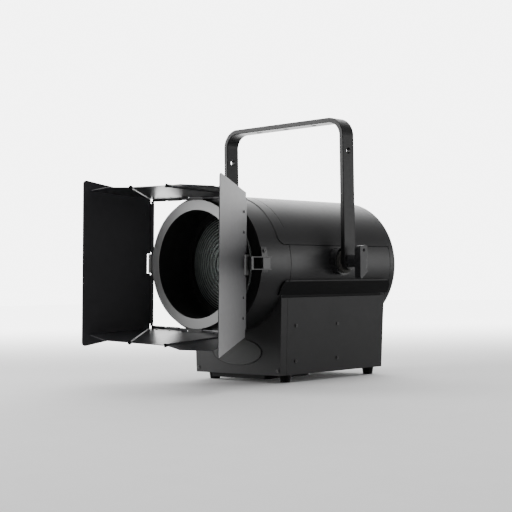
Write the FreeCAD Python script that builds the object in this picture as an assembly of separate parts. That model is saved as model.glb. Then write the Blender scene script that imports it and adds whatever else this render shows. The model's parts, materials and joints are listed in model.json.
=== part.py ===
# Fresnel spotlight with four-leaf barndoor, yoke and base housing.
# Units are millimetres, +Z is up, the beam leaves along -Y and X is the tilt axis.
# Shapes are drawn about the barrel axis and moved to the part frame when they are written:
# the part's origin is on its plane of symmetry, under its middle, at the level of the feet.
import FreeCAD
import Part
import math
import os

V = FreeCAD.Vector
X, Y, Z = V(1, 0, 0), V(0, 1, 0), V(0, 0, 1)

# driving dimensions -------------------------------------------------------------
barrel_r = 142.0
wall = 3.0
cover_gap = 1.3
seam_half = 0.7
back_gap = 1.2
lap_t = 1.2
lap_l = 5.0
lap_gap = 0.3
lap_root = 2.5
bulk_t = 3.0
rear_bulk_y = 296.0
y_front = -98.0
y_seam = -9.5
y_back_seam = 326.0
y_back = 354.0
back_round = 14.0
cover_z = 38.0
cover_y = -41.0
cover_corner = 20.5
cover_proud = 0.9
cover_bevel = 2.5
groove_z = 73.0
groove_t = 0.7

lens_r = 105.0
lens_front = -50.0
lens_back = -40.0
lens_rings = 12
lens_tooth = 4.0
retainer_r = 104.0
retainer_t = 3.0
retainer_screw_r = 110.5
seat_t = 3.0
baffle_r = 118.0

box_top = -65.0
box_bottom = -230.0
box_half_top = 128.0
box_half_bottom = 121.5
box_front = -25.0
box_rear_top = 321.0
box_rear_bottom = 315.0
sheet = 2.0
rear_panel_y = 306.0
lip_top = -35.0
lip_thick = 4.0
lip_front = -35.5
lip_rear = 329.0
lip_corner = 20.0

badge_half_x = 71.5
badge_half_z = 28.3
badge_z = -183.3
badge_t = 1.6
badge_rim = 3.0

foot_h = 16.0
foot_x = 102.0
foot_ys = (12.0, 290.0)
floor_z = box_bottom - foot_h

pivot_y = 142.0
pivot_z = 4.0
yoke_half = 174.8
yoke_t = 10.0
yoke_w = 37.5
yoke_top = 309.6
yoke_edge = 1.0
yoke_corner = 40.0
yoke_hole_z = 237.5
hook_hole_r = 6.5
side_hole_x = 80.0
stud_r = 5.0
fit = 0.05
knob_stand = 20.0
knob_thick = 14.5

clip_nose = -135.6
clip_rear = -77.0
latch_y = -86.0
latch_z = 153.0
latch_reach = -134.0
ring_front = -142.0
ring_out = 131.25
ring_in = 111.0
ring_wall = 2.0
hinge_r = 134.0
hinge_y = -140.0
rod_r = 2.5
rod_half = 131.0
knuckle_r = 3.6
knuckle_end = 127.0
block_half = 20.2
notch_half = 20.8
notch_v = 10.5
door_turn = 1.75
leaf_t = 1.5
side_off = 3.0
side_leaf_len = 153.5
side_leaf_half_in = 142.0
side_leaf_half_out = 172.0
right_splay = 24.6
left_splay = 19.5
main_off = 2.0
main_leaf_len = 134.5
main_half_in = 137.0
main_half_out = 51.9
top_splay = 6.8
bottom_splay = 8.7
flap_bends = {"top_left": 1.2, "top_right": 2.5, "bottom_left": 4.8, "bottom_right": -1.9}
pin_r = 1.5
pin_sleeve_r = 3.0
pin_cap_r = 3.8
flap_tip = (108.3, 151.1)
flap_side = (178.8, 132.6)
flap_root = (139.0, 16.0)
flap_gap = 1.8
sleeve_room = 0.4

carriage_y = 100.0
rod_x = 100.0
rod_z = -40.0
screw_z = -108.0
screw_r = 5.0
fan_half = 60.0

screw_head_r = 3.6
screw_head_h = 1.8


# helpers ------------------------------------------------------------------------
def box(x0, x1, y0, y1, z0, z1):
    return Part.makeBox(x1 - x0, y1 - y0, z1 - z0, V(x0, y0, z0))


def rod(axis, r, a, b, centre):
    start = V(centre)
    start = start + axis * (a - start.dot(axis))
    return Part.makeCylinder(r, b - a, start, axis)


def tube(axis, r_in, r_out, a, b, centre):
    return rod(axis, r_out, a, b, centre).cut(rod(axis, r_in, a - 1, b + 1, centre))


def barrel(r_in, r_out, a, b):
    return tube(Y, r_in, r_out, a, b, V(0, 0, 0))


def prism(points, along):
    face = Part.Face(Part.makePolygon(points + [points[0]]))
    return face.extrude(along)


def join(shapes):
    out = shapes[0]
    for s in shapes[1:]:
        out = out.fuse(s)
    return out.removeSplitter()


def less(shape, tools):
    for t in tools:
        shape = shape.cut(t)
    return shape


def mirror_x(shape):
    return shape.mirror(V(0, 0, 0), X)


def mirror_z(shape):
    return shape.mirror(V(0, 0, 0), Z)


def turned(shape, centre, axis, angle):
    s = shape.copy()
    s.rotate(centre, axis, angle)
    return s


def moved(shape, v):
    s = shape.copy()
    s.translate(v)
    return s


def rounded_plate(x0, x1, z0, z1, r, y0, y1):
    """A plate in the XZ plane with four round corners."""
    p = box(x0, x1, y0, y1, z0, z1)
    edges = [e for e in p.Edges if abs(e.tangentAt(e.FirstParameter).dot(Y)) > 0.99]
    return p.makeFillet(r, edges)


def group(shapes):
    return Part.makeCompound(shapes)


nodes = {}
screws = []


def screw(axis, c, at, length):
    """Pan-head screw on an axis: the head stands above the face at the given height."""
    sign = 1 if length > 0 else -1
    a, b = sorted((at, at + sign * screw_head_h))
    head = rod(axis, screw_head_r, a, b, c)
    hex_a, hex_b = sorted((at + sign * 0.9, at + sign * 3))
    head = head.cut(rod(axis, 1.5, hex_a, hex_b, c))
    a, b = sorted((at, at - length))
    return head.fuse(rod(axis, 1.9, a, b, c))


# barrel shells ------------------------------------------------------------------
def cover_region(grow):
    """The region of the top cover seen from the side, as a block right across the barrel."""
    a, b = cover_y - grow, cover_z - grow
    r = cover_corner
    arc = Part.Arc(
        V(-200, a, b + r),
        V(-200, a + r - r * math.cos(math.pi / 4), b + r - r * math.sin(math.pi / 4)),
        V(-200, a + r, b),
    ).toShape()
    line1 = Part.makeLine(V(-200, a + r, b), V(-200, y_back_seam + 40, b))
    line2 = Part.makeLine(V(-200, y_back_seam + 40, b), V(-200, y_back_seam + 40, 220))
    line3 = Part.makeLine(V(-200, y_back_seam + 40, 220), V(-200, a, 220))
    line4 = Part.makeLine(V(-200, a, 220), V(-200, a, b + r))
    wire = Part.Wire([arc, line1, line2, line3, line4])
    return Part.Face(wire).extrude(V(400, 0, 0))


inner_r = barrel_r - wall
full = barrel(inner_r, barrel_r, y_front, y_back_seam)
no_cover = full.cut(cover_region(cover_gap))

def seam_lap(y0, y1):
    """Two strips inside the barrel that close the seam under the top cover from behind."""
    strip = barrel(inner_r - lap_t, inner_r, y0, y1).common(box(-200, 200, y0, y1, cover_z - 8, cover_z + 6))
    root = barrel(inner_r - lap_t, inner_r + 0.5, y0, y1)
    return strip.fuse(root.common(box(-200, 200, y0, y1, cover_z - 8, cover_z - 2)))


def ring_lap(y_tip, y_root, y_end):
    """A spigot ring that slips into the next shell; it joins its own shell between root and end."""
    r_in = inner_r - lap_t - lap_gap
    ring = barrel(r_in, inner_r - lap_gap, y_tip, y_end)
    return ring.fuse(barrel(r_in, inner_r + 0.5, y_root, y_end))


bezel = no_cover.common(box(-200, 200, y_front - 1, y_seam - seam_half, -200, 200))
front_face = barrel(baffle_r - 2, inner_r + 1, y_front, y_front + 3)
baffle = barrel(baffle_r - 2, baffle_r, y_front, lens_back + seat_t)
seat = barrel(96, inner_r + 0.5, lens_back, lens_back + seat_t)
seat = seat.cut(barrel(inner_r - 0.2, barrel_r, lens_back - 1, 0).common(cover_region(cover_gap)))
bezel_lap = seam_lap(lens_back + seat_t + lap_gap, y_seam - lap_l - lap_gap)
bezel = join([bezel, front_face, baffle, seat, bezel_lap])

shell = no_cover.common(box(-200, 200, y_seam + seam_half, y_back_seam + 1, -200, 200))
shell = shell.cut(box(-95, 95, 20, 300, -160, -100))
lap_start = y_seam + seam_half + 0.5
lap_end = lap_start + lap_root
front_lap = ring_lap(y_seam - lap_l, lap_start, lap_end).cut(cover_region(cover_gap))
shell = join(
    [
        shell,
        front_lap,
        seam_lap(lap_end, -lap_gap),
        seam_lap(bulk_t + lap_gap, rear_bulk_y - lap_gap),
        seam_lap(rear_bulk_y + bulk_t + lap_gap, y_back_seam - lap_l - lap_gap),
    ]
)

cover_tube = barrel(inner_r + 0.2, barrel_r + cover_proud, cover_y - 5, y_back_seam)
bevel = Part.makeCone(barrel_r - 1, barrel_r + cover_proud, cover_bevel, V(0, cover_y, 0), Y)
bevel = bevel.fuse(rod(Y, barrel_r + 5, cover_y + cover_bevel, y_back_seam + 1, V(0, 0, 0)))
top_cover = cover_tube.common(cover_region(0.0)).common(bevel)
seam_groove = barrel(barrel_r + cover_proud - groove_t, barrel_r + 5, y_seam - seam_half, y_seam + seam_half)
top_cover = top_cover.cut(seam_groove.common(box(-200, 200, y_seam - 1, y_seam + 1, groove_z, 200)))

r0, r1 = barrel_r - back_round, barrel_r
back_y0 = y_back_seam + back_gap
profile = Part.Wire(
    [
        Part.makeLine(V(inner_r, back_y0, 0), V(r1, back_y0, 0)),
        Part.makeLine(V(r1, back_y0, 0), V(r1, y_back - back_round, 0)),
        Part.Arc(
            V(r1, y_back - back_round, 0),
            V(r0 + back_round * math.sin(math.pi / 4), y_back - back_round * (1 - math.cos(math.pi / 4)), 0),
            V(r0, y_back, 0),
        ).toShape(),
        Part.makeLine(V(r0, y_back, 0), V(0, y_back, 0)),
        Part.makeLine(V(0, y_back, 0), V(0, y_back - wall, 0)),
        Part.makeLine(V(0, y_back - wall, 0), V(r0, y_back - wall, 0)),
        Part.Arc(
            V(r0, y_back - wall, 0),
            V(
                r0 + (back_round - wall) * math.sin(math.pi / 4),
                y_back - wall - (back_round - wall) * (1 - math.cos(math.pi / 4)),
                0,
            ),
            V(inner_r, y_back - back_round, 0),
        ).toShape(),
        Part.makeLine(V(inner_r, y_back - back_round, 0), V(inner_r, back_y0, 0)),
    ]
)
rear_cover = Part.Face(profile).revolve(V(0, 0, 0), Y, 360)
vents = []
for i in range(-5, 6):
    z = i * 9.0
    half = math.sqrt(58.0**2 - z**2)
    vents.append(box(-half, -3, y_back - wall - 1, y_back + 1, z - 2, z + 2))
    vents.append(box(3, half, y_back - wall - 1, y_back + 1, z - 2, z + 2))
cover_screw_at = [math.radians(a) for a in (45, 135, 225, 315)]
for a in cover_screw_at:
    c = V(118 * math.cos(a), 0, 118 * math.sin(a))
    vents.append(rod(Y, 1.9, y_back - wall - 1, y_back + 1, c))
    screws.append(screw(Y, c, y_back, 22))
back_lap = ring_lap(y_back_seam - lap_l, back_y0 + 0.5, back_y0 + 0.5 + lap_root)
rear_cover = join([less(rear_cover, vents), back_lap])
nodes["front_bezel"] = bezel
nodes["body_shell"] = shell
nodes["top_cover"] = top_cover
nodes["rear_cover"] = rear_cover


# lens ---------------------------------------------------------------------------
def lens_shape():
    """Stepped lens: a domed middle and rings of equal area, each sloping back to a riser."""
    low = lens_front + lens_tooth
    zone = [lens_r * 0.99 * math.sqrt(i / lens_rings) for i in range(1, lens_rings + 1)]
    dome = Part.Arc(V(0, lens_front, 0), V(zone[0] / 2, lens_front + lens_tooth / 4, 0), V(zone[0], low, 0))
    pts = [V(zone[0], low, 0)]
    for inner, outer in zip(zone, zone[1:]):
        pts.append(V(inner + 0.3, lens_front + 0.6, 0))
        pts.append(V(outer, low, 0))
    pts += [V(lens_r, low, 0), V(lens_r, lens_back, 0), V(0, lens_back, 0), V(0, lens_front, 0)]
    edges = [dome.toShape()] + [Part.makeLine(a, b) for a, b in zip(pts, pts[1:])]
    return Part.Face(Part.Wire(edges)).revolve(V(0, 0, 0), Y, 360)


nodes["lens"] = lens_shape()
retainer_y = lens_front - retainer_t
rim_y = lens_front + lens_tooth
retainer = barrel(retainer_r, baffle_r - 2, retainer_y, lens_front)
retainer = retainer.fuse(barrel(lens_r + 0.2, 112, lens_front, rim_y))
retainer = retainer.fuse(barrel(retainer_r, lens_r + 0.5, lens_front, rim_y)).removeSplitter()
bezel_holes = []
for i in range(6):
    a = math.radians(30 + 60 * i)
    c = V(retainer_screw_r * math.cos(a), 0, retainer_screw_r * math.sin(a))
    retainer = retainer.cut(rod(Y, 1.9, retainer_y - 2, rim_y + 1, c))
    bezel_holes.append(rod(Y, 1.9, lens_back - 1, lens_back + seat_t + 1, c))
    screws.append(screw(Y, c, retainer_y, retainer_y - lens_back - seat_t))
nodes["front_bezel"] = less(nodes["front_bezel"], bezel_holes)
nodes["lens_retainer"] = retainer

# light engine -------------------------------------------------------------------
front_bulk = barrel(92, inner_r, 0, bulk_t)
rear_bulk = rod(Y, inner_r, rear_bulk_y, rear_bulk_y + bulk_t, V(0, 0, 0))
rear_bulk = rear_bulk.cut(rod(Y, 56, 290, 305, V(0, 0, 0)))
guides = []
for s in (-1, 1):
    c = V(s * rod_x, 0, rod_z)
    guides.append(rod(Y, 4.0, -4, 299, c))
    front_bulk = front_bulk.cut(rod(Y, 4.0, -5, 5, c))
    rear_bulk = rear_bulk.cut(rod(Y, 4.0, 290, 305, c))
screw_c = V(0, 0, screw_z)
front_bulk = front_bulk.fuse(rod(Y, 9.0, -4, 3, screw_c)).removeSplitter()
front_bulk = front_bulk.cut(rod(Y, screw_r + fit, -2, 5, screw_c))
nodes["front_bulkhead"] = front_bulk
nodes["rear_bulkhead"] = rear_bulk
nodes["guide_rods"] = group(guides)
nodes["lead_screw"] = rod(Y, screw_r, -1.8, 266, screw_c).fuse(rod(Y, 10, 232, 252, screw_c))
motor = box(-21, 21, 256, 296, screw_z - 21, screw_z + 21)
motor = motor.cut(rod(Y, screw_r + fit, 250, 268, screw_c))
nodes["focus_motor"] = motor

plate = box(-112, 112, carriage_y, carriage_y + 6, -62, 50)
for s in (-1, 1):
    c = V(s * rod_x, 0, rod_z)
    plate = plate.cut(rod(Y, 7.5, carriage_y - 1, carriage_y + 7, c))
    plate = plate.cut(box(s * 62 - 12, s * 62 + 12, carriage_y - 1, carriage_y + 7, 62, 80))
bushes = []
for s in (-1, 1):
    c = V(s * rod_x, 0, rod_z)
    bushes.append(tube(Y, 4.0 + fit, 7.5, carriage_y - 10, carriage_y + 20, c))
nut = box(-12, 12, carriage_y + 6, carriage_y + 26, screw_z - 12, -50)
nut = nut.cut(rod(Y, screw_r + fit, carriage_y, carriage_y + 40, screw_c))
sink = box(-60, 60, carriage_y + 6, carriage_y + 14, -46, 46)
fins = [sink]
for i in range(13):
    x = -58.5 + i * 9.5
    fins.append(box(x, x + 3, carriage_y + 14, carriage_y + 70, -46, 46))
nodes["focus_carriage"] = plate
nodes["carriage_bushes"] = group(bushes)
nodes["carriage_nut"] = nut
nodes["heat_sink"] = join(fins)
nodes["led_module"] = join(
    [box(-24, 24, carriage_y - 2, carriage_y, -24, 24), rod(Y, 14, carriage_y - 3, carriage_y, V(0, 0, 0))]
)
reflector_out = Part.makeCone(36, 20, 38, V(0, carriage_y - 40, 0), Y)
reflector_in = Part.makeCone(34.5, 18.5, 38.2, V(0, carriage_y - 40.1, 0), Y)
nodes["reflector"] = reflector_out.cut(reflector_in)

frame = rounded_plate(-fan_half, fan_half, -fan_half, fan_half, 6, 299, 324)
frame = frame.cut(rod(Y, 56, 298, 325, V(0, 0, 0)))
spider = [rod(Y, 18, 299, 302, V(0, 0, 0))]
for i in range(4):
    bar = box(-2.5, 2.5, 299, 302, 10, 57)
    spider.append(turned(bar, V(0, 0, 0), Y, 45 + 90 * i))
frame = join([frame] + spider)
axle = rod(Y, 2.0, 302, 318, V(0, 0, 0))
nodes["fan_frame"] = frame.fuse(axle)
blades = [rod(Y, 20, 303, 322, V(0, 0, 0))]
for i in range(7):
    blade = turned(box(-1.0, 1.0, 305, 320, 18, 53), V(0, 312, 0), Z, 28)
    blades.append(turned(blade, V(0, 0, 0), Y, 360.0 / 7 * i))
rotor = join(blades)
rotor = rotor.cut(rod(Y, 2.0 + fit, 302, 318.3, V(0, 0, 0)))
nodes["fan_rotor"] = rotor


# base housing -------------------------------------------------------------------
def base_block(inset, z_top, z_bottom):
    """The tapered base as a block, all its walls moved in by an inset."""
    slope_x = (box_half_top - box_half_bottom) / (box_top - box_bottom)
    slope_y = (box_rear_top - box_rear_bottom) / (box_top - box_bottom)
    corners = []
    for z in (z_bottom, z_top):
        hx = box_half_bottom + slope_x * (z - box_bottom) - inset
        y1 = box_rear_bottom + slope_y * (z - box_bottom) - inset
        y0 = box_front + inset
        corners += [V(-hx, y0, z), V(hx, y0, z), V(hx, y1, z), V(-hx, y1, z)]
    quads = [(0, 1, 2, 3), (4, 5, 6, 7), (0, 1, 5, 4), (1, 2, 6, 5), (2, 3, 7, 6), (3, 0, 4, 7)]
    faces = []
    for q in quads:
        pts = [corners[i] for i in q]
        faces.append(Part.Face(Part.makePolygon(pts + [pts[0]])))
    solid = Part.makeSolid(Part.makeShell(faces))
    if solid.Volume < 0:
        solid.reverse()
    return solid


outer_box = base_block(0, box_top, box_bottom)
inner_box = base_block(sheet, box_top + 2, box_bottom - 2)
skin = outer_box.cut(inner_box)
under_barrel = rod(Y, barrel_r + 0.05, -60, 400, V(0, 0, 0))
under_saddle = rod(Y, barrel_r + lip_thick + 0.05, box_front + sheet, 400, V(0, 0, 0))
front_panel = less(skin.common(box(-200, 200, -60, -6.4, -300, 0)), [under_barrel, under_saddle])
side_panel = skin.common(box(0, 200, -5.9, 400, -300, 0))
side_panel = side_panel.common(box(60, 200, -60, 400, -300, 0)).cut(under_saddle)
side_panel = side_panel.cut(box(60, 118.2, 300, 400, -300, 0))
rear_panel = inner_box.common(box(-200, 200, rear_panel_y, rear_panel_y + sheet, box_bottom + sheet, 0))
rear_panel = rear_panel.cut(under_saddle)

lip = barrel(barrel_r, barrel_r + lip_thick, lip_front, lip_rear)
lip_side = box(-200, 200, lip_front, lip_rear, box_top, lip_top)
upper = [e for e in lip_side.Edges if abs(e.tangentAt(0).x) > 0.99 and e.CenterOfMass.z > lip_top - 1]
lip_side = lip_side.makeFillet(lip_corner, upper)
saddle_half = box_half_top + 0.3
saddle_in = box(-saddle_half, saddle_half, box_front + sheet + 0.2, rear_panel_y - 0.5, -300, box_top)
saddle = lip.common(lip_side).fuse(lip.common(saddle_in)).removeSplitter()
rim = barrel(barrel_r + lip_thick - 1, barrel_r + lip_thick + 1.2, lip_front, lip_rear)
rim = rim.common(box(-200, 200, lip_front + lip_corner, lip_rear - lip_corner, lip_top - 3.5, lip_top))
saddle = saddle.fuse(rim).removeSplitter()
saddle = saddle.cut(box(-60, 60, 20, 300, -160, -120))

floor = inner_box.common(box(-200, 200, -60, 400, box_bottom, box_bottom + sheet))
floor = floor.common(box(-200, 200, -60, rear_panel_y + sheet, -300, 0))
under_plate = box(-78, 78, -22, 117, box_bottom - 8.5, box_bottom)
under_edges = [e for e in under_plate.Edges if abs(e.tangentAt(0).z) > 0.99]
under_plate = under_plate.makeFillet(4, under_edges)
under_plate = under_plate.cut(box(-70, 70, -14, 109, box_bottom - 6.5, box_bottom + 1))

feet = []
for sx in (-1, 1):
    for y in foot_ys:
        c = V(sx * foot_x, y, 0)
        cone = Part.makeCone(13, 10.5, foot_h, V(sx * foot_x, y, box_bottom), V(0, 0, -1))
        feet.append(less(cone, [rod(Z, 5.0, floor_z - 1, floor_z + 8, c), rod(Z, 1.9, -300, 0, c)]))
        screws.append(screw(Z, c, floor_z + 8, -14))
        floor = floor.cut(rod(Z, 1.9, -240, -200, c))

slope = (box_half_top - box_half_bottom) / (box_top - box_bottom)


def side_x(z):
    return box_half_bottom + slope * (z - box_bottom)


tilt = math.degrees(math.atan(slope))
side_screws = []
for y in (22.0, 157.0):
    for z in (-129.0, -202.0):
        c = V(side_x(z), y, z)
        side_screws.append(turned(screw(X, c, side_x(z), 9), c, Y, tilt))
        side_panel = side_panel.cut(turned(rod(X, 1.9, side_x(z) - 10, side_x(z) + 5, c), c, Y, tilt))
side_right = side_panel
side_left = mirror_x(side_panel)
screws += side_screws + [mirror_x(s) for s in side_screws]
for s in (-1, 1):
    c = V(s * 114.5, 0, -220)
    screws.append(screw(Y, c, box_front, -9))
    front_panel = front_panel.cut(rod(Y, 1.9, box_front - 5, box_front + 3, c))

def oval(half_x, half_z, thick, y):
    """An oval plate on the front panel, its back at the given depth."""
    flat_oval = Part.Face(Part.Wire(Part.Ellipse(V(0, 0, 0), half_x, half_z).toShape()))
    return moved(turned(flat_oval.extrude(V(0, 0, thick)), V(0, 0, 0), X, 90), V(0, y, badge_z))


badge = oval(badge_half_x, badge_half_z, badge_t, box_front)
badge = badge.cut(oval(badge_half_x - badge_rim, badge_half_z - badge_rim, badge_t, box_front - 1.0))

# rear controls and connectors
yp = rear_panel_y + sheet
display_c = (-62.0, -168.0)
button_xs = (-20.0, -4.0, 12.0, 28.0)
inlet_xs = (-78.0, -36.0)
data_xs = (14.0, 56.0)
port_z = -206.0
cut = [box(display_c[0] - 28, display_c[0] + 28, 300, 312, display_c[1] - 11, display_c[1] + 11)]
cut += [rod(Y, 5.0, 300, 312, V(x, 0, display_c[1])) for x in button_xs]
cut += [rod(Y, 12.0, 300, 312, V(x, 0, port_z)) for x in inlet_xs + data_xs]
rear_panel = less(rear_panel, cut)
display = box(display_c[0] - 30, display_c[0] + 30, yp, yp + 1.5, display_c[1] - 13, display_c[1] + 13)
display = display.fuse(
    box(display_c[0] - 27.5, display_c[0] + 27.5, yp - 2, yp, display_c[1] - 10.5, display_c[1] + 10.5)
)
display_rear = box(-96, 40, yp - 14, yp - 12.4, display_c[1] - 15, display_c[1] + 15)
buttons = {}
for i, x in enumerate(button_xs):
    c = V(x, 0, display_c[1])
    buttons["button_%d" % (i + 1)] = rod(Y, 4.9, yp - 9, yp + 2.0, c).fuse(rod(Y, 6.5, yp - 4.2, yp - 2.2, c))
posts = []
for x, z in ((-90, -157), (-90, -179), (37, -157), (37, -179)):
    posts.append(rod(Y, 2.5, yp - 12.4, rear_panel_y, V(x, 0, z)))


def port(x, r_hole, depth, flange):
    c = V(x, 0, port_z)
    body = rod(Y, 11.9, rear_panel_y - 24, yp + 3, c)
    body = body.fuse(rounded_plate(x - flange, x + flange, port_z - 15, port_z + 15, 3, yp, yp + 2))
    return body.cut(rod(Y, r_hole, yp + 3 - depth, yp + 4, c))


inlets = []
for x in inlet_xs:
    blades = [box(x + d - 0.6, x + d + 0.6, yp - 18, yp - 1, port_z - 2, port_z + 2) for d in (-2.6, 2.6)]
    blades.append(box(x - 2, x + 2, yp - 18, yp - 1, port_z - 5.6, port_z - 4.4))
    inlets.append(join([port(x, 9.5, 20, 13)] + blades))
data_in = port(data_xs[0], 8.6, 14, 13)
pins = []
for i in range(5):
    a = math.radians(90 + (i - 2) * 55)
    c = V(data_xs[0] + 5 * math.cos(a), 0, port_z + 5 * math.sin(a))
    pins.append(rod(Y, 0.9, yp - 12, yp - 1, c))
data_in = join([data_in] + pins)
data_out = port(data_xs[1], 8.6, 4, 13)
holes = []
for i in range(5):
    a = math.radians(90 + (i - 2) * 55)
    holes.append(rod(Y, 1.1, yp - 12, yp + 4, V(data_xs[1] + 5 * math.cos(a), 0, port_z + 5 * math.sin(a))))
data_out = less(data_out, holes)

supply = box(-85, 30, 40, 240, box_bottom + 8, box_bottom + 50)
supply = supply.cut(box(-83, 28, 42, 238, box_bottom + 10, box_bottom + 48))
for i in range(8):
    x = -76 + 12 * i
    supply = supply.cut(box(x, x + 5, 39, 241, box_bottom + 16, box_bottom + 42))
supply_feet = []
for x in (-78, 23):
    for y in (52, 228):
        supply_feet.append(rod(Z, 4, box_bottom + sheet, box_bottom + 8, V(x, y, 0)))
supply = join([supply] + supply_feet)
driver = box(45, 105, 40, 230, box_bottom + 12, box_bottom + 13.6)
driver_parts = [driver]
for y in (60, 100, 140, 180):
    driver_parts.append(box(55, 75, y, y + 22, box_bottom + 13.6, box_bottom + 28))
    driver_parts.append(rod(Z, 6, box_bottom + 13.6, box_bottom + 34, V(90, y + 10, 0)))
for x in (50, 100):
    for y in (45, 225):
        driver_parts.append(rod(Z, 3, box_bottom + sheet, box_bottom + 12, V(x, y, 0)))
driver = join(driver_parts)

nodes["cradle"] = saddle
nodes["base_front_panel"] = front_panel
nodes["base_side_right"] = side_right
nodes["base_side_left"] = side_left
nodes["base_rear_panel"] = rear_panel
nodes["base_floor"] = floor
nodes["under_plate"] = under_plate
nodes["feet"] = group(feet)
nodes["badge_plate"] = badge
nodes["display_window"] = display
nodes["control_board"] = join([display_rear] + posts)
nodes["power_ports"] = group(inlets)
nodes["data_input"] = data_in
nodes["data_output"] = data_out
nodes["power_supply"] = supply
nodes["driver_board"] = driver
nodes.update(buttons)

# tilt pivots and yoke -----------------------------------------------------------
pivot = V(0, pivot_y, pivot_z)
barrel_solid = rod(Y, barrel_r, 0, 400, V(0, 0, 0))
boss = rod(X, 28, 120, 156, pivot).cut(barrel_solid)
boss = boss.fuse(rod(X, 30, 156, 158.5, pivot))
boss = boss.cut(rod(X, stud_r + fit, 100, 200, pivot))
strap_in = yoke_half - yoke_t
disc = tube(X, stud_r + 0.4, 25, 158.5, strap_in - 0.2, pivot)


def yoke_wire(half, top, r):
    k = r * (1 - math.cos(math.pi / 4))
    return [
        Part.makeLine(V(half, 0, pivot_z), V(half, 0, top - r)),
        Part.Arc(V(half, 0, top - r), V(half - k, 0, top - k), V(half - r, 0, top)).toShape(),
        Part.makeLine(V(half - r, 0, top), V(-half + r, 0, top)),
        Part.Arc(V(-half + r, 0, top), V(-half + k, 0, top - k), V(-half, 0, top - r)).toShape(),
        Part.makeLine(V(-half, 0, top - r), V(-half, 0, pivot_z)),
    ]


def yoke_rim(edge):
    """Whether an edge runs along the strap, on its outside or inside."""
    a, b = edge.ParameterRange
    mid = edge.valueAt((a + b) / 2)
    on_face = abs(abs(mid.y - pivot_y) - yoke_w / 2) < 0.01
    on_end = mid.z < pivot_z - 1 and edge.BoundBox.XLength < 0.1
    return (on_face and edge.BoundBox.YLength < 0.1) or on_end


outer_w = yoke_wire(yoke_half, yoke_top, yoke_corner)
inner_w = yoke_wire(strap_in, yoke_top - yoke_t, yoke_corner - yoke_t)
ends = [
    Part.makeLine(V(-yoke_half, 0, pivot_z), V(-strap_in, 0, pivot_z)),
    Part.makeLine(V(strap_in, 0, pivot_z), V(yoke_half, 0, pivot_z)),
]
loop = Part.Wire(Part.__sortEdges__(outer_w + inner_w + ends))
yoke = Part.Face(loop).extrude(V(0, yoke_w, 0))
yoke = moved(yoke, V(0, pivot_y - yoke_w / 2, 0))
for s in (-1, 1):
    a, b = sorted((s * strap_in, s * yoke_half))
    yoke = yoke.fuse(rod(X, yoke_w / 2, a, b, pivot))
yoke = yoke.removeSplitter()
yoke = yoke.makeChamfer(yoke_edge, [e for e in yoke.Edges if yoke_rim(e)])
yoke = yoke.cut(rod(X, stud_r + fit, -200, 200, pivot))
yoke = yoke.cut(rod(X, 6.8, -200, 200, V(0, pivot_y, yoke_hole_z)))
for x in (-side_hole_x, 0, side_hole_x):
    yoke = yoke.cut(rod(Z, hook_hole_r, 280, 330, V(x, pivot_y, 0)))


def knob():
    x0 = yoke_half + 0.2
    x1 = x0 + knob_stand
    outline = ((-10.5, -41), (13, -24), (15, 33), (-10, 30.3))
    lever = prism([V(x1, pivot_y + dy, pivot_z + dz) for dy, dz in outline], V(knob_thick, 0, 0))
    lever = lever.makeFillet(4, [e for e in lever.Edges if abs(e.tangentAt(0).x) > 0.99])
    lever = lever.makeFillet(1.2, [e for e in lever.Edges if abs(e.CenterOfMass.x - x1 - knob_thick) < 0.01])
    stud = rod(X, stud_r, 147, x0 + 14, pivot)
    body = join([rod(X, 13, x0, x1 + 1, pivot), lever, stud])
    return body.cut(rod(X, 3.5, x1 + knob_thick - 6, x1 + knob_thick + 1, V(0, pivot_y + 3, pivot_z + 22)))


nodes["pivot_bosses"] = group([boss, mirror_x(boss)])
nodes["friction_discs"] = group([disc, mirror_x(disc)])
nodes["yoke"] = yoke
nodes["clamp_knob_right"] = knob()
nodes["clamp_knob_left"] = mirror_x(knob())


# accessory clips and latch ------------------------------------------------------
def clip():
    """Sheet clip on the right side of the barrel: two arms, a back plate and a nose turned in."""
    x0, x1 = barrel_r, barrel_r + 8
    arms = [box(x0 + 1.2, x1, clip_nose, clip_rear, z, z + 1.8) for z in (10.4, -13.8)]
    back = box(x0 + 2.5, x0 + 4.0, y_front, clip_rear, -13, 11)
    lip_plate = box(136, x1, -131.5, -130, -12.5, 11)
    nose = box(x0 + 1.2, x1, clip_nose, -130, -12.5, 11)
    tab = tube(Y, barrel_r, barrel_r + 1.8, -98, -82, V(0, 0, 0)).common(box(100, 160, -98, -82, -19, 32))
    foot = tube(Y, barrel_r, barrel_r + 1.8, -82.5, clip_rear, V(0, 0, 0))
    foot = foot.common(box(100, 160, -82.5, clip_rear, -12.5, 11))
    block = box(x0 + 1, x0 + 3, -92, clip_rear - 4, -8, 8)
    return join(arms + [back, nose, lip_plate, tab, foot, block]).cut(rod(X, 1.9, 130, 160, V(0, -90, 24)))


one_clip = clip()
clip_at = (0, 90, 180)
hole = rod(X, 1.9, 130, 160, V(0, -90, 24))
nodes["front_bezel"] = less(nodes["front_bezel"], [turned(hole, V(0, 0, 0), Y, a) for a in clip_at])
nodes["accessory_clips"] = group([turned(one_clip, V(0, 0, 0), Y, a) for a in clip_at])
clip_seat = barrel_r + 1.4
clip_screw = screw(X, V(0, -90, 24), clip_seat, 11).cut(nodes["front_bezel"]).cut(one_clip)
screws += [turned(clip_screw, V(0, 0, 0), Y, a) for a in clip_at]

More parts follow.
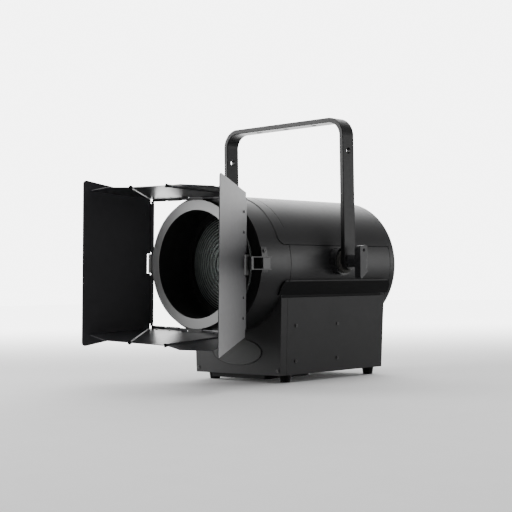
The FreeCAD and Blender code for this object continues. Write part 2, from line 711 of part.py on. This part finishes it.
lugs = []
for s in (-1, 1):
    a, b = sorted((s * 13.3, s * 16))
    lug = box(a, b, -94, -76, 139.5, latch_z).fuse(rod(X, 6.5, a, b, V(0, latch_y, latch_z)))
    lugs.append(lug)
saddle_plate = barrel(barrel_r, barrel_r + 1.8, -94, -76).common(box(-16, 16, -94, -76, 130, 160))
latch_base = join([saddle_plate] + lugs).cut(rod(Y, barrel_r, -100, -70, V(0, 0, 0)))
latch_base = latch_base.fuse(rod(X, 2.0, -17, 17, V(0, latch_y, latch_z))).removeSplitter()
latch = box(-13, 13, latch_reach, latch_y + 2, latch_z - 3, latch_z)
latch = latch.fuse(box(-13, 13, latch_reach, latch_reach + 3.5, 137, latch_z))
latch = latch.fuse(rod(X, 4.5, -13, 13, V(0, latch_y, latch_z)))
thumb = box(-9, 9, latch_y, latch_y + 22, latch_z - 1, latch_z + 1.5)
latch = latch.fuse(turned(thumb, V(0, latch_y, latch_z), X, 25))
latch = latch.removeSplitter().cut(rod(X, 2.0 + fit, -20, 20, V(0, latch_y, latch_z)))
nodes["latch_bracket"] = latch_base
nodes["latch_lever"] = latch

# barndoor frame -----------------------------------------------------------------
frame = join(
    [
        barrel(ring_in, ring_out, ring_front, ring_front + 2),
        barrel(ring_in, ring_in + ring_wall, ring_front, y_front - 0.4),
        barrel(ring_in, 139, -128.6, -126.6),
    ]
)


def hinge_block():
    """Block on the top of the frame that grips the middle of a hinge rod."""
    blk = box(-block_half, block_half, -143.5, -136.6, hinge_r - 4, hinge_r + 8.4)
    tab = box(-block_half, block_half, ring_front, ring_front + 2, hinge_r - 12, hinge_r)
    return blk.fuse(tab)


def around(shape):
    """The same shape at the top, right, bottom and left of the barrel."""
    return [turned(shape, V(0, 0, 0), Y, a) for a in (0, 90, 180, 270)]


rod_c = V(0, hinge_y, hinge_r)
frame = join([frame] + around(hinge_block()))
frame = less(frame, around(rod(X, rod_r, -30, 30, rod_c)))
hinge_rod = rod(X, rod_r, -rod_half, rod_half, rod_c)
cap = rod(X, 3.5, rod_half - 2.5, rod_half + 0.5, rod_c)
hinge_rod = join([hinge_rod, cap, mirror_x(cap)])


def door(shape):
    """The whole barndoor rests turned a little on the barrel."""
    return turned(shape, V(0, 0, 0), Y, door_turn)


nodes["barndoor_frame"] = door(frame)
nodes["hinge_rods"] = door(group(around(hinge_rod)))


# barndoor leaves ----------------------------------------------------------------
def flat(points, off):
    """A leaf plate beside a hinge at the top of the frame; points are (across, forward)."""
    pts = [V(u, hinge_y - v, hinge_r + off - leaf_t / 2) for u, v in points]
    return prism(pts, V(0, 0, leaf_t))


def sleeves(spans):
    out = []
    for a, b in spans:
        sleeve = rod(X, knuckle_r, a, b, rod_c)
        out += [sleeve, mirror_x(sleeve)]
    return out


def rivets(off):
    """Rivets through a leaf plate in a row by its hinge."""
    out = []
    for u, v in rivet_spots:
        c = V(u, hinge_y - v, hinge_r)
        face = hinge_r + off + leaf_t / 2
        shank = rod(Z, 1.5, face - leaf_t, face, c)
        head = rod(Z, 2.8, face, face + 1.6, c)
        tail = rod(Z, 2.2, face - leaf_t - 1.2, face - leaf_t, c)
        out.append(join([shank, head, tail]))
    return out


rivet_spots = [(s * u, 14.0) for s in (-1, 1) for u in (64, 104)]
hinge_hole = rod(X, rod_r + fit, -150, 150, rod_c)
notch = box(-notch_half, notch_half, hinge_y - notch_v, hinge_y + 8, hinge_r - 10, hinge_r + 12)

# side leaf, drawn at the top and turned to the sides
side = flat(
    [
        (-side_leaf_half_in, 3.5),
        (-side_leaf_half_out, side_leaf_len),
        (side_leaf_half_out, side_leaf_len),
        (side_leaf_half_in, 3.5),
    ],
    side_off,
)
far = [e for e in side.Edges if abs(e.tangentAt(0).z) > 0.99 and e.CenterOfMass.y < hinge_y - 100]
side = side.makeFillet(7, far)
root = flat([(24, -1.5), (24, 7), (knuckle_end, 7), (knuckle_end, -1.5)], side_off)
side = join([side, root, mirror_x(root)] + sleeves([(24, knuckle_end)]))
side = less(side, [hinge_hole, notch])
side = join([side] + rivets(side_off))


def place_side(shape, where, splay):
    s = turned(shape, rod_c, X, -splay)
    return door(turned(s, V(0, 0, 0), Y, where))


nodes["leaf_right"] = place_side(side, 90, right_splay)
nodes["leaf_left"] = place_side(side, 270, left_splay)

# main leaf with a folding flap on each side
f0 = (main_half_in, 4.0)
f1 = (main_half_out, main_leaf_len)
fold = math.hypot(f1[0] - f0[0], f1[1] - f0[1])
du, dv = (f1[0] - f0[0]) / fold, (f1[1] - f0[1]) / fold
nu, nv = dv, -du
fold_dir = V(du, -dv, 0)
fold_start = V(f0[0], hinge_y - f0[1], hinge_r + main_off)


def on_fold(s, off):
    """Point at a distance along the fold line of the right flap, and off it to the outside."""
    return (f0[0] + du * s + nu * off, f0[1] + dv * s + nv * off)


def sleeve_on_fold(a, b, off):
    """One hinge sleeve on the fold line with the strip that joins it to its plate."""
    body = Part.makeCylinder(pin_sleeve_r, b - a, fold_start + fold_dir * a, fold_dir)
    strip = flat([on_fold(a, 0), on_fold(b, 0), on_fold(b, off), on_fold(a, off)], main_off)
    return body.fuse(strip)


a0 = on_fold(10, -flap_gap)
a1 = on_fold(fold + flap_gap * nv / dv, -flap_gap)
main_root = knuckle_end + 4
main = flat([(-main_root, 4), (-a0[0], a0[1]), (-a1[0], a1[1]), a1, a0, (main_root, 4)], main_off)
main_spans = [(50, 86), (95, 126)]
roots = []
for a, b in main_spans:
    strip = flat([(a, 0), (a, 7), (b, 7), (b, 0)], main_off)
    roots += [strip, mirror_x(strip)]
main = join([main] + roots + sleeves(main_spans))
main = less(main, [hinge_hole, notch])
main = join([main] + rivets(main_off))

sleeve_reach = pin_sleeve_r + 2
steps = [14, 42, 70, 98, 126, fold - 2]
main_sleeves = []
flap_sleeves = []
for i in range(5):
    a, b = steps[i] + 0.2, steps[i + 1] - 0.2
    if i % 2 == 0:
        main_sleeves.append(sleeve_on_fold(a, b, -sleeve_reach))
    else:
        flap_sleeves.append(sleeve_on_fold(a, b, sleeve_reach))
pin_hole = Part.makeCylinder(pin_r, fold + 20, fold_start - fold_dir * 5, fold_dir)


def room_for(i):
    """Clearance round one sleeve of the fold's hinge."""
    a, b = steps[i] - 0.2, steps[i + 1] + 0.2
    return Part.makeCylinder(pin_sleeve_r + sleeve_room, b - a, fold_start + fold_dir * a, fold_dir)


flap_sleeve_rooms = [room_for(i) for i in (1, 3)]
main_sleeve_rooms = [room_for(i) for i in (0, 2, 4)]
flap_hole = Part.makeCylinder(pin_r + fit, fold + 20, fold_start - fold_dir * 5, fold_dir)
pin_end = fold_start + fold_dir * (steps[-1] + 0.2)
cap_room = Part.makeCylinder(pin_cap_r + 0.5, 12, fold_start + fold_dir * steps[-1], fold_dir)
right_side = [s.cut(pin_hole) for s in main_sleeves]
rooms = flap_sleeve_rooms + [cap_room]
main = less(main, rooms + [mirror_x(r) for r in rooms])
main = join([main] + right_side + [mirror_x(s) for s in right_side])
pin = Part.makeCylinder(pin_r, steps[-1] + 0.2 - 12, fold_start + fold_dir * 12, fold_dir)
pin = pin.fuse(Part.makeCylinder(pin_cap_r, 4.0, pin_end, fold_dir)).removeSplitter()

c0, c1 = on_fold(16, flap_gap), on_fold(fold - 4, flap_gap)
flap = flat([c0, c1, (60, main_leaf_len + 1), flap_tip, flap_side, flap_root], main_off)
flap = join([less(flap, main_sleeve_rooms)] + flap_sleeves).cut(flap_hole)


def fold_by(shape, angle):
    """Turn a right-hand flap about its fold line; a positive angle closes it into the beam."""
    return turned(shape, fold_start, fold_dir, -angle)


def place_main(shape, bottom):
    s = turned(shape, rod_c, X, -(bottom_splay if bottom else top_splay))
    return door(mirror_z(s) if bottom else s)


pins = group([pin, mirror_x(pin)])
for word, low in (("top", False), ("bottom", True)):
    nodes["leaf_" + word] = place_main(main, low)
    nodes["leaf_%s_pins" % word] = place_main(pins, low)
    bend = flap_bends[word + "_right"]
    nodes["flap_%s_right" % word] = place_main(fold_by(flap, bend), low)
    bend = flap_bends[word + "_left"]
    nodes["flap_%s_left" % word] = place_main(mirror_x(fold_by(flap, bend)), low)

nodes["housing_screws"] = group(screws)

# write --------------------------------------------------------------------------
os.makedirs("parts", exist_ok=True)
first = min(v.Y for shape in nodes.values() for v in shape.Vertexes)
last = max(v.Y for shape in nodes.values() for v in shape.Vertexes)
shift = V(0, -(first + last) / 2, -floor_z)
for name, shape in nodes.items():
    out = moved(shape, shift)
    out.exportStep("parts/%s.step" % name)
    state = "valid" if out.isValid() else "NOT VALID"
    print(name, len(out.Solids), "solids", round(out.Volume), "mm3", state)
print("shift", shift, "nodes", len(nodes))
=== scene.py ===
import json
import math

import bpy
from mathutils import Matrix, Vector


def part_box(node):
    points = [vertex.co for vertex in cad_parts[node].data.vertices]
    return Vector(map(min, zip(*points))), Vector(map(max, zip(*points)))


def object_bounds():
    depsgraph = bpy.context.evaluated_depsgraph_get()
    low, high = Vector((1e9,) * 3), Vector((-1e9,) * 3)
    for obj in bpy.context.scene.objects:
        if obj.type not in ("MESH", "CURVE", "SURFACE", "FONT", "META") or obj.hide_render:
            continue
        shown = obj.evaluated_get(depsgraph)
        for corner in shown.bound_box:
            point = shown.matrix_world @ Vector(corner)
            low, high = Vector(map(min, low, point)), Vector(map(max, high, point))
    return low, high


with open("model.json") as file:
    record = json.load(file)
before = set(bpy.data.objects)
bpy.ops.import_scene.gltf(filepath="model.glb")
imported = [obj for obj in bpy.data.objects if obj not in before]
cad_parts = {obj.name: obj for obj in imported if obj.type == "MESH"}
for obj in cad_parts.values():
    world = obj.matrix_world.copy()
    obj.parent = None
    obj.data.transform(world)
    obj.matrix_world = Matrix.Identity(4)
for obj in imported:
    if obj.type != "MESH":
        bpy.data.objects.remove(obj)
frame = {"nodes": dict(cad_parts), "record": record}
cad_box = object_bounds()
nodes = frame["nodes"]

# places and shares the materials refer to
lens_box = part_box("lens")
ring_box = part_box("barndoor_frame")
badge_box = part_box("badge_plate")
barrel_z = (lens_box[0][2] + lens_box[1][2]) / 2
glass_rim = (lens_box[1][0] - lens_box[0][0]) / 2 * 0.99  # half the lens's width, less its thin edge
lens_steps = 12
# the ring's flat front, where its painted reflection lies
ring_face_depth = 0.0018
ring_front = ring_box[0][1] + ring_face_depth
ring_radius = 0.1313
badge_face_share = 0.955
# the top band of the cradle's lip, which gets a painted highlight
lip_highlight_band = 0.0028
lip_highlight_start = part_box("cradle")[1][2] - lip_highlight_band

# the camera's heading, which the lit backdrop faces
view_azimuth = math.radians(42.885)
view_pitch = math.radians(1.307)
view_roll = math.radians(-0.802)
backdrop_way = Vector((-math.sin(view_azimuth), math.cos(view_azimuth), 0.0))


# shader helpers -----------------------------------------------------------------
class Shader:
    """A node material under construction; its links are made by short calls."""

    def __init__(self, name):
        self.mat = bpy.data.materials.new(name)
        self.mat.use_nodes = True
        self.tree = self.mat.node_tree
        self.bsdf = self.tree.nodes["Principled BSDF"]
        self.coord = self.tree.nodes.new("ShaderNodeTexCoord").outputs["Object"]

    def node(self, kind, **values):
        n = self.tree.nodes.new(kind)
        for key, value in values.items():
            if key in n.inputs:
                n.inputs[key].default_value = value
            else:
                setattr(n, key, value)
        return n

    def link(self, a, b):
        self.tree.links.new(a, b)

    def axes(self):
        """The X, Y and Z of the point that is shaded."""
        n = self.node("ShaderNodeSeparateXYZ")
        self.link(self.coord, n.inputs["Vector"])
        return n.outputs

    def maths(self, operation, a, b=0.0):
        n = self.node("ShaderNodeMath", operation=operation)
        for socket, value in zip(n.inputs, (a, b)):
            if isinstance(value, (int, float)):
                socket.default_value = value
            else:
                self.link(value, socket)
        return n.outputs["Value"]

    def noise(self, scale, detail=4.0, rough=0.55, coord=None):
        n = self.node("ShaderNodeTexNoise", Scale=scale, Detail=detail, Roughness=rough)
        self.link(coord or self.coord, n.inputs["Vector"])
        return n.outputs["Fac"]

    def ramp(self, fac, stops):
        n = self.node("ShaderNodeValToRGB")
        ramp = n.color_ramp
        while len(ramp.elements) < len(stops):
            ramp.elements.new(0.5)
        for element, (place, colour) in zip(ramp.elements, stops):
            element.position = place
            element.color = (*colour, 1.0)
        self.link(fac, n.inputs["Fac"])
        return n.outputs["Color"]

    def span(self, fac, low, high, a=0.3, b=0.7):
        """Maps the range a to b onto low to high."""
        n = self.node("ShaderNodeMapRange")
        for key, value in (("From Min", a), ("From Max", b), ("To Min", low), ("To Max", high)):
            n.inputs[key].default_value = value
        self.link(fac, n.inputs["Value"])
        return n.outputs["Result"]

    def bump(self, height, strength, distance, normal):
        n = self.node("ShaderNodeBump", Strength=strength, Distance=distance)
        self.link(height, n.inputs["Height"])
        self.link(normal, n.inputs["Normal"])
        return n.outputs["Normal"]

    def edge(self, radius):
        n = self.node("ShaderNodeBevel", Radius=radius)
        n.samples = 6
        return n.outputs["Normal"]

    def out(self, socket, name):
        self.link(socket, self.bsdf.inputs[name])

    def hold(self, name, value):
        """Gives the surface the same value everywhere."""
        self.bsdf.inputs[name].default_value = value

    def uneven_gloss(self, rough, spread=0.02):
        smears = self.noise(90.0, 5.0, 0.6)
        self.out(self.span(smears, rough - spread, rough + spread), "Roughness")

    def grain(self, scale, strength, depth, edge):
        """Fine bumps, with the solid's edges rounded in the shading."""
        bumps = self.noise(scale, 2.0, 0.6)
        self.out(self.bump(bumps, strength, depth, self.edge(edge)), "Normal")


def scaled(colour, k):
    return tuple(min(1.0, c * k) for c in colour)


def coat(
    name, colour, rough, grain=1400.0, depth=0.00003, strength=0.25, edge=0.0004, shine=0.5, mottle=0.07
):
    """Painted or moulded surface: fine grain, faint mottling and slightly uneven gloss."""
    s = Shader(name)
    clouds = s.noise(14.0, 3.0)
    shades = [(0.3, scaled(colour, 1 - mottle)), (0.7, scaled(colour, 1 + mottle))]
    s.out(s.ramp(clouds, shades), "Base Color")
    s.uneven_gloss(rough)
    s.hold("Specular IOR Level", shine)
    s.grain(grain, strength, depth, edge)
    return s.mat


def radius_about_barrel(s):
    """Distance of a point from the barrel's axis, in metres."""
    point = s.axes()
    flat = s.node("ShaderNodeCombineXYZ")
    s.link(point["X"], flat.inputs["X"])
    s.link(point["Z"], flat.inputs["Z"])
    length = s.node("ShaderNodeVectorMath", operation="DISTANCE")
    s.link(flat.outputs["Vector"], length.inputs[0])
    length.inputs[1].default_value = (0.0, 0.0, barrel_z)
    return length.outputs["Value"]


def painted_ring_glass(name, steps, rim):
    """Pressed glass with painted light: bright ring bands of equal area in the base colour are painted
    highlights for light caught on the risers, and painted shade dims them towards the rim.
    """
    s = Shader(name)
    s.hold("Transmission Weight", 0.35)
    s.hold("IOR", 1.5)
    ratio = s.maths("DIVIDE", radius_about_barrel(s), rim)
    area = s.maths("MULTIPLY", ratio, ratio)
    zone = s.maths("FRACT", s.maths("MULTIPLY", area, steps))
    # painted highlights: the bright ring bands stand in for light caught on the risers
    riser_glint_colour, dim = (0.86, 0.94, 0.90), (0.09, 0.102, 0.098)
    painted_glints = s.ramp(zone, [(0.0, riser_glint_colour), (0.16, dim), (0.70, dim), (1.0, riser_glint_colour)])
    # painted shade: the ring bands darken towards the rim
    painted_rim_shade = s.node("ShaderNodeVectorMath", operation="SCALE")
    s.link(painted_glints, painted_rim_shade.inputs[0])
    s.link(s.span(ratio, 1.0, 0.3, 0.35, 0.95), painted_rim_shade.inputs["Scale"])
    s.out(painted_rim_shade.outputs["Vector"], "Base Color")
    s.out(s.span(s.noise(60.0), 0.05, 0.08), "Roughness")
    return s.mat


def frame_with_painted_reflection(name, bright, dark, front, rim):
    """Satin paint of the barndoor's ring with a painted reflection: a much lighter base colour on its flat
    front stands in for the light it reflects; matt black inside and behind.
    """
    s = Shader(name)
    ahead = s.maths("LESS_THAN", s.axes()["Y"], front)
    within = s.maths("LESS_THAN", radius_about_barrel(s), rim)
    painted_reflection_area = s.maths("MULTIPLY", ahead, within)
    # painted reflection: the lighter base colour on the flat front stands in for reflected light
    s.out(s.ramp(painted_reflection_area, [(0.0, dark), (1.0, bright)]), "Base Color")
    s.out(s.span(painted_reflection_area, 0.6, 0.33, 0.0, 1.0), "Roughness")
    s.hold("Specular IOR Level", 0.6)
    s.grain(800.0, 0.12, 0.00002, 0.0004)
    return s.mat


def two_tone_and_painted_light(name, inner, outer, outer_mask, rough, shine):
    """Satin paint in two shades; the mask function gives 1 where the outer shade lies. The badge uses it for
    its two-tone paint, the cradle for painted shade with a painted highlight.
    """
    s = Shader(name)
    s.out(s.ramp(outer_mask(s), [(0.0, inner), (1.0, outer)]), "Base Color")
    s.uneven_gloss(rough)
    s.hold("Specular IOR Level", shine)
    s.grain(1400.0, 0.25, 0.00003, 0.0006)
    return s.mat


def above(height):
    return lambda s: s.maths("GREATER_THAN", s.axes()["Z"], height)


def past_oval(box, share):
    """The rim of an oval plate: points farther out than the given share of its half sizes."""
    (x0, _, z0), (x1, _, z1) = box
    half_x, half_z, mid_x, mid_z = (x1 - x0) / 2, (z1 - z0) / 2, (x0 + x1) / 2, (z0 + z1) / 2

    def mask(s):
        point = s.axes()
        across = s.maths("DIVIDE", s.maths("SUBTRACT", point["X"], mid_x), half_x)
        along = s.maths("DIVIDE", s.maths("SUBTRACT", point["Z"], mid_z), half_z)
        squares = s.maths("ADD", s.maths("POWER", across, 2.0), s.maths("POWER", along, 2.0))
        return s.maths("GREATER_THAN", squares, share * share)

    return mask


def metal(name, colour, rough):
    """Plain metal with fine drawn lines along X."""
    s = Shader(name)
    stretched = s.node("ShaderNodeMapping", Scale=(1.0, 60.0, 60.0))
    s.link(s.coord, stretched.inputs["Vector"])
    lines = s.noise(40.0, 3.0, 0.6, stretched.outputs["Vector"])
    s.hold("Metallic", 1.0)
    s.out(s.ramp(lines, [(0.3, scaled(colour, 0.8)), (0.7, scaled(colour, 1.15))]), "Base Color")
    s.out(s.span(s.noise(30.0), rough - 0.06, rough + 0.08), "Roughness")
    s.out(s.bump(lines, 0.15, 0.00003, s.edge(0.0003)), "Normal")
    return s.mat


# materials, one per slot of the record ------------------------------------------
materials = {
    "satin_black": coat("satin_powder_coat", (0.014, 0.014, 0.0148), 0.39, shine=0.45),
    "panel_black": coat(
        "matt_powder_coat", (0.019, 0.019, 0.0198), 0.5, grain=900.0, depth=0.00005, strength=0.4, shine=0.32
    ),
    "leaf_black": coat(
        "smooth_satin_paint",
        (0.022, 0.022, 0.025),
        0.33,
        grain=700.0,
        depth=0.00002,
        strength=0.1,
        edge=0.0003,
        shine=0.6,
    ),
    # the ring's light grey front colour is a painted reflection
    "ring_grey": frame_with_painted_reflection(
        "frame_satin_painted_reflection", (0.22, 0.22, 0.222), (0.007, 0.007, 0.007), ring_front, ring_radius
    ),
    "inner_black": coat("inner_matt_paint", (0.008, 0.008, 0.008), 0.6),
    "rubber": coat(
        "foot_rubber", (0.006, 0.006, 0.006), 0.75, grain=600.0, depth=0.00008, strength=0.5, shine=0.15
    ),
    "friction_fibre": coat(
        "pressed_fibre", (0.03, 0.028, 0.025), 0.8, grain=500.0, depth=0.0001, strength=0.6
    ),
    "knob_plastic": coat(
        "grained_plastic", (0.02, 0.02, 0.022), 0.45, grain=1100.0, depth=0.00006, strength=0.5
    ),
    "badge": two_tone_and_painted_light(
        "badge_paint",
        (0.028, 0.029, 0.0285),
        (0.005, 0.005, 0.005),
        past_oval(badge_box, badge_face_share),
        0.4,
        0.3,
    ),
    "display": coat(
        "display_window", (0.006, 0.006, 0.008), 0.08, grain=300.0, depth=0.00001, strength=0.05
    ),
    "port_plastic": coat("moulded_plastic", (0.012, 0.012, 0.012), 0.5),
    "motor_black": coat("motor_paint", (0.05, 0.05, 0.05), 0.5),
    "board_green": coat("circuit_board", (0.01, 0.07, 0.025), 0.4),
    "glass": painted_ring_glass("pressed_glass_painted_glints", lens_steps, glass_rim),
    "rod_steel": metal("drawn_steel", (0.55, 0.55, 0.55), 0.3),
    "screw_steel": metal("blackened_steel", (0.08, 0.08, 0.08), 0.4),
    "bronze": metal("sintered_bronze", (0.55, 0.38, 0.16), 0.45),
    "aluminium": metal("extruded_aluminium", (0.8, 0.8, 0.8), 0.35),
}

# nodes whose finish differs from the rest of their slot; the cradle's base colour holds painted shade and a
# painted highlight
pin_paint = coat("pin_paint", (0.006, 0.006, 0.0062), 0.6, shine=0.1)
special = {
    "hinge_rods": metal("blackened_rod", (0.05, 0.05, 0.052), 0.42),
    "leaf_top_pins": pin_paint,
    "leaf_bottom_pins": pin_paint,
    # cradle: the near-black base colour is painted shade on the down-facing lip, and the lighter band along
    # its top edge is a painted highlight
    "cradle": two_tone_and_painted_light(
        "cradle_painted_shade_and_highlight", (0.005, 0.005, 0.0054), (0.05, 0.05, 0.051), above(lip_highlight_start), 0.55, 0.12
    ),
    "yoke": coat("yoke_paint", (0.009, 0.009, 0.0095), 0.42, shine=0.3),
    "accessory_clips": coat("clip_paint", (0.035, 0.035, 0.037), 0.34),
    "latch_bracket": coat("latch_paint", (0.035, 0.035, 0.037), 0.34),
    "under_plate": coat("under_plate_paint", (0.006, 0.006, 0.0064), 0.55, shine=0.12),
}

for part in frame["record"]["subparts"]:
    node = nodes[part["node"]]
    node.data.materials.clear()
    node.data.materials.append(special.get(part["node"], materials[part["material_slot"]]))


# studio -------------------------------------------------------------------------
low, high = Vector(cad_box[0]), Vector(cad_box[1])
middle = (low + high) / 2
white = (1.0, 1.0, 1.0, 1.0)


def toward_backdrop(tree, source, start, full, dim, bright):
    """A smooth rise from dim to bright between two shares of the way towards the backdrop."""
    along = tree.nodes.new("ShaderNodeVectorMath")
    along.operation = "DOT_PRODUCT"
    along.inputs[1].default_value = backdrop_way
    tree.links.new(tree.nodes.new("ShaderNodeTexCoord").outputs[source], along.inputs[0])
    rise = tree.nodes.new("ShaderNodeMapRange")
    rise.interpolation_type = "SMOOTHSTEP"
    for key, value in (("From Min", start), ("From Max", full), ("To Min", dim), ("To Max", bright)):
        rise.inputs[key].default_value = value
    tree.links.new(along.outputs["Value"], rise.inputs["Value"])
    return rise.outputs["Result"]


def lit_sweep(name, start, full, glow):
    """Pale paper floor that brightens into the lit backdrop far behind the lamp."""
    mat = coat(name, (0.88, 0.88, 0.88), 0.9, shine=0.2, mottle=0.01)
    tree = mat.node_tree
    bsdf = tree.nodes["Principled BSDF"]
    bsdf.inputs["Emission Color"].default_value = white
    rise = toward_backdrop(tree, "Object", start, full, 0.0, glow)
    tree.links.new(rise, bsdf.inputs["Emission Strength"])
    return mat


def studio_world(near, far):
    """White surround: bright behind the lamp as a lit backdrop, dim on the near side of the room."""
    world = bpy.data.worlds.new("studio")
    world.use_nodes = True
    tree = world.node_tree
    background = tree.nodes["Background"]
    background.inputs["Color"].default_value = white
    rise = toward_backdrop(tree, "Generated", 0.55, 0.95, near, far)
    tree.links.new(rise, background.inputs["Strength"])
    return world


def square_floor(half):
    """A flat square of twice the given half width, at the height of the lamp's feet."""
    corners = [(x * half, y * half, 0) for x, y in ((-1, -1), (1, -1), (1, 1), (-1, 1))]
    mesh = bpy.data.meshes.new("floor")
    mesh.from_pydata(corners, [], [(0, 1, 2, 3)])
    obj = bpy.data.objects.new("floor", mesh)
    bpy.context.scene.collection.objects.link(obj)
    return obj


floor = square_floor(half=9)
floor.data.materials.append(lit_sweep("floor_paper", start=0.3, full=3.5, glow=4.8))
floor.visible_glossy = False  # keeps the lamp's undersides dark
bpy.context.scene.world = studio_world(near=0.2, far=6.0)


def softbox(name, way, distance, size, power):
    """A rectangular soft light that looks at the lamp's middle from the given way."""
    light = bpy.data.lights.new(name, "AREA")
    light.shape = "RECTANGLE"
    light.size, light.size_y = size
    light.energy = power
    obj = bpy.data.objects.new(name, light)
    place = middle + Vector(way).normalized() * distance
    obj.location = place
    obj.rotation_euler = (middle - place).to_track_quat("-Z", "Y").to_euler()
    bpy.context.scene.collection.objects.link(obj)


softbox("front_left", way=(-0.70, -0.72, 0.26), distance=2.4, size=(1.5, 1.5), power=60)
softbox("right_back", way=(0.74, 0.66, 0.06), distance=2.6, size=(1.6, 0.9), power=14)
softbox("overhead", way=(0.1, 0.15, 1.0), distance=2.6, size=(2.4, 2.2), power=48)

# camera -------------------------------------------------------------------------
eye = Vector((1.76296, -1.892673, 0.20501))
camera_data = bpy.data.cameras.new("camera")
camera_data.sensor_width = 36.0
camera_data.lens = 84.897
camera = bpy.data.objects.new("camera", camera_data)
bpy.context.scene.collection.objects.link(camera)
bpy.context.scene.camera = camera

forward = backdrop_way * math.cos(view_pitch) + Vector((0.0, 0.0, math.sin(view_pitch)))
level = Vector((math.cos(view_azimuth), math.sin(view_azimuth), 0.0))
upright = level.cross(forward)
right = level * math.cos(view_roll) + upright * math.sin(view_roll)
up = upright * math.cos(view_roll) - level * math.sin(view_roll)
turn = Matrix((right, up, -forward)).transposed().to_4x4()
camera.matrix_world = Matrix.Translation(eye) @ turn
